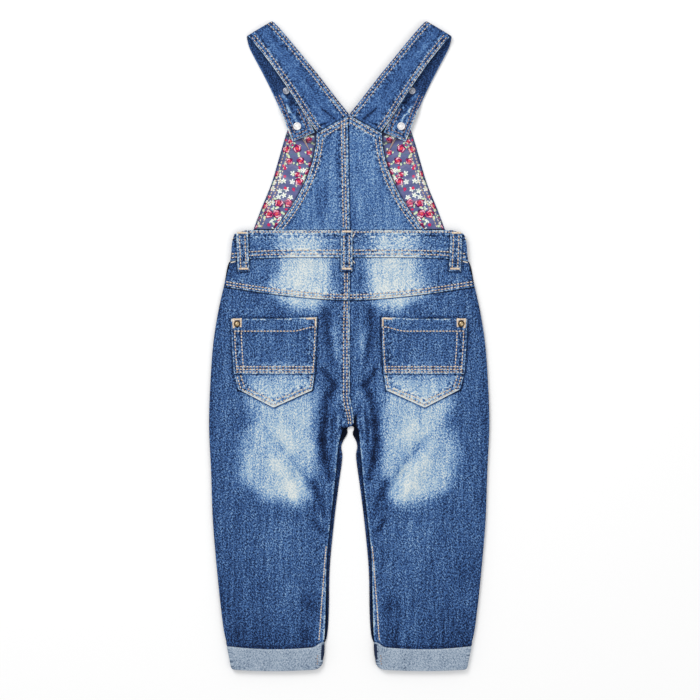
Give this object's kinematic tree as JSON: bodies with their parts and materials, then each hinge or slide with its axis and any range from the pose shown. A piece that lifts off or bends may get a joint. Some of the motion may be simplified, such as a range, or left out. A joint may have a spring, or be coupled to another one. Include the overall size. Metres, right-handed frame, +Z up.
{
  "type": "kids dungarees",
  "caption": "Toddler's denim bib dungarees laid flat, back uppermost: shoulder straps with snaps, V-topped back bib, print-lined front bib, patch pockets and turned-up cuffs.",
  "frame": {"origin": "middle of the footprint, on the table that the garment lies on", "axes": "+Z up from the table, out of the garment's back; +Y from the cuffs to the shoulders; -X the wearer's left"},
  "size_m": [0.28, 0.6486, 0.0099],
  "materials": {
    "denim": "washed twill",
    "denim_worn": "washed twill, faded",
    "denim_front": "washed twill",
    "denim_reverse": "pale wrong side of the twill",
    "print_lining": "floral printed poplin",
    "snap_metal": "satin",
    "rivet_brass": "antiqued"
  },
  "bodies": {
    "root": {"front_leg_left": "denim_front", "front_leg_right": "denim_front", "back_leg_left": "denim", "back_leg_right": "denim", "cuff_left": "denim_reverse", "cuff_right": "denim_reverse", "back_yoke_left": "denim_worn", "back_yoke_right": "denim_worn", "back_bib_left": "denim", "back_bib_right": "denim", "strap_left": "denim", "strap_right": "denim", "pocket_upper_left": "denim", "pocket_upper_right": "denim", "pocket_lower_left": "denim_worn", "pocket_lower_right": "denim_worn", "snap_1_left": "snap_metal", "snap_1_right": "snap_metal", "snap_2_left": "snap_metal", "snap_2_right": "snap_metal", "rivet_left": "rivet_brass", "rivet_right": "rivet_brass", "waistband_front": "denim_front", "waistband_back": "denim", "front_bib": "denim_front", "front_bib_lining": "print_lining", "belt_loop_left": "denim_worn", "belt_loop_centre": "denim_worn", "belt_loop_right": "denim_worn"}
  },
  "joints": []
}
